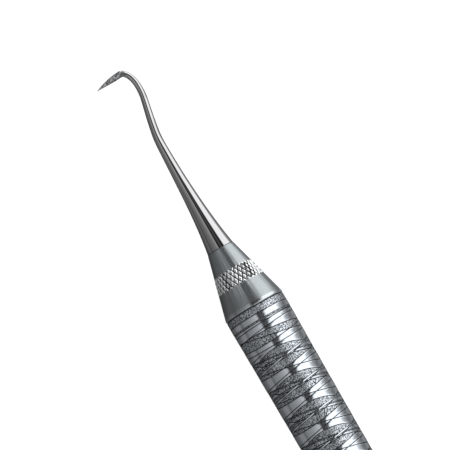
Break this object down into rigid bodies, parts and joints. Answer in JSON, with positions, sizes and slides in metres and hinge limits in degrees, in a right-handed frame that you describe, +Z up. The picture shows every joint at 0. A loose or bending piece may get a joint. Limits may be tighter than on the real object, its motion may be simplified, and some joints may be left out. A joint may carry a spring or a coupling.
{
  "type": "hand scaler",
  "caption": "Double-ended dental hand scaler: hollow etched handle with a knurled cone screwed into each end, carrying a tapering shank and a hooked sickle blade.",
  "frame": {"origin": "middle of the handle, on its axis", "axes": "+X along the handle towards the front working end, +Y the way the front blade points, +Z up with the instrument lying on its side so that both hooks are level"},
  "size_m": [0.1762, 0.0094, 0.0094],
  "materials": {
    "etched_steel": "polished stainless steel etched with stippled matt bands and thin dark lines",
    "plain_steel": "plain turned stainless steel",
    "satin_steel": "satin stainless steel with a diamond-knurled band",
    "polished_steel": "mirror-polished stainless steel shank with a ground satin blade",
    "seal_rubber": "matt black silicone"
  },
  "bodies": {
    "handle": {"handle_tube": "etched_steel", "front_socket": "plain_steel", "rear_socket": "plain_steel"},
    "front_seal": {"front_seal_ring": "seal_rubber"},
    "front_working_end": {"front_cone": "satin_steel", "front_scaler_tip": "polished_steel"},
    "rear_seal": {"rear_seal_ring": "seal_rubber"},
    "rear_working_end": {"rear_cone": "satin_steel", "rear_scaler_tip": "polished_steel"}
  },
  "joints": [
    {"name": "front_end_slide", "type": "slide", "parent": "handle", "child": "front_seal", "axis": [1, 0, 0], "range_m": [0, 0.0048]},
    {"name": "front_end_turn", "type": "hinge", "parent": "front_seal", "child": "front_working_end", "pos_m": [0.0475, 0, 0], "axis": [1, 0, 0], "range_deg": [0, 2160]},
    {"name": "rear_end_slide", "type": "slide", "parent": "handle", "child": "rear_seal", "axis": [-1, 0, 0], "range_m": [0, 0.0048]},
    {"name": "rear_end_turn", "type": "hinge", "parent": "rear_seal", "child": "rear_working_end", "pos_m": [-0.0475, 0, 0], "axis": [-1, 0, 0], "range_deg": [0, 2160]}
  ],
  "couplings": [
    {"joint": "front_end_turn", "follows": "front_end_slide", "rad_per_m": 7854},
    {"joint": "rear_end_turn", "follows": "rear_end_slide", "rad_per_m": 7854}
  ]
}
